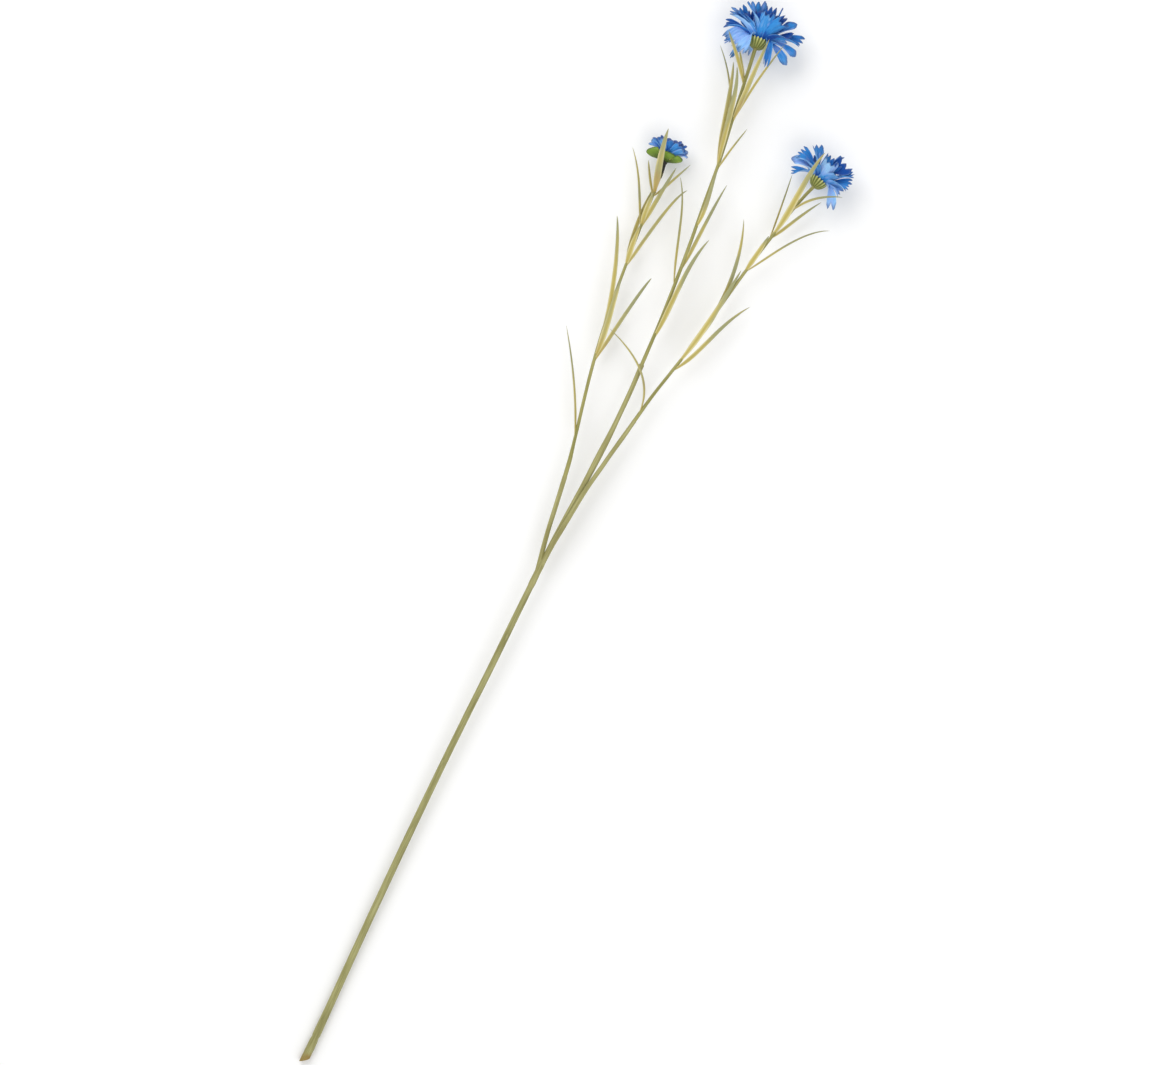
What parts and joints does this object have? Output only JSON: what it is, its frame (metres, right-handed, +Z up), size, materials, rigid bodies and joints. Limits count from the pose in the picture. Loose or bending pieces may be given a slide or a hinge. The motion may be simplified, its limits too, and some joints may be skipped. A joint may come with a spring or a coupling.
{
  "type": "artificial cornflower spray",
  "caption": "Artificial cornflower spray lying flat: a long plastic-sleeved wire stem, a moulded fork and leafy sprigs that carry blue fabric blooms and a half-open bud.",
  "frame": {"origin": "centre of the bounding box's underside, on the surface that the spray lies on", "axes": "+Y along the spray from the cut end towards the blooms, +X across it towards the right bloom, +Z up from the surface"},
  "size_m": [0.122, 0.6544, 0.0306],
  "materials": {
    "stem_plastic": "satin grey-olive sleeve with faint moulded nubs",
    "wire_steel": "plain drawn wire",
    "fork_plastic": "satin olive, with brown tints at the joints",
    "leaf_plastic": "satin yellow-green fading to straw and ochre",
    "calyx_plastic": "matte green with pale rib tips",
    "petal_fabric": "thin woven cloth, pale lilac-blue to deep blue",
    "neck_plastic": "satin dark olive",
    "sepal_plastic": "satin fresh green",
    "bud_fabric": "thin woven cloth, blue with grey-lilac rims"
  },
  "bodies": {
    "root": {"main_stem": "stem_plastic", "stem_wire": "wire_steel", "fork": "fork_plastic", "left_sprig": "leaf_plastic", "centre_sprig": "leaf_plastic", "right_sprig": "leaf_plastic", "top_bloom_calyx": "calyx_plastic", "top_bloom_petals": "petal_fabric", "right_bloom_calyx": "calyx_plastic", "right_bloom_petals": "petal_fabric", "left_bud_neck": "neck_plastic", "left_bud_sepals": "sepal_plastic", "left_bud_petals": "bud_fabric"}
  },
  "joints": []
}
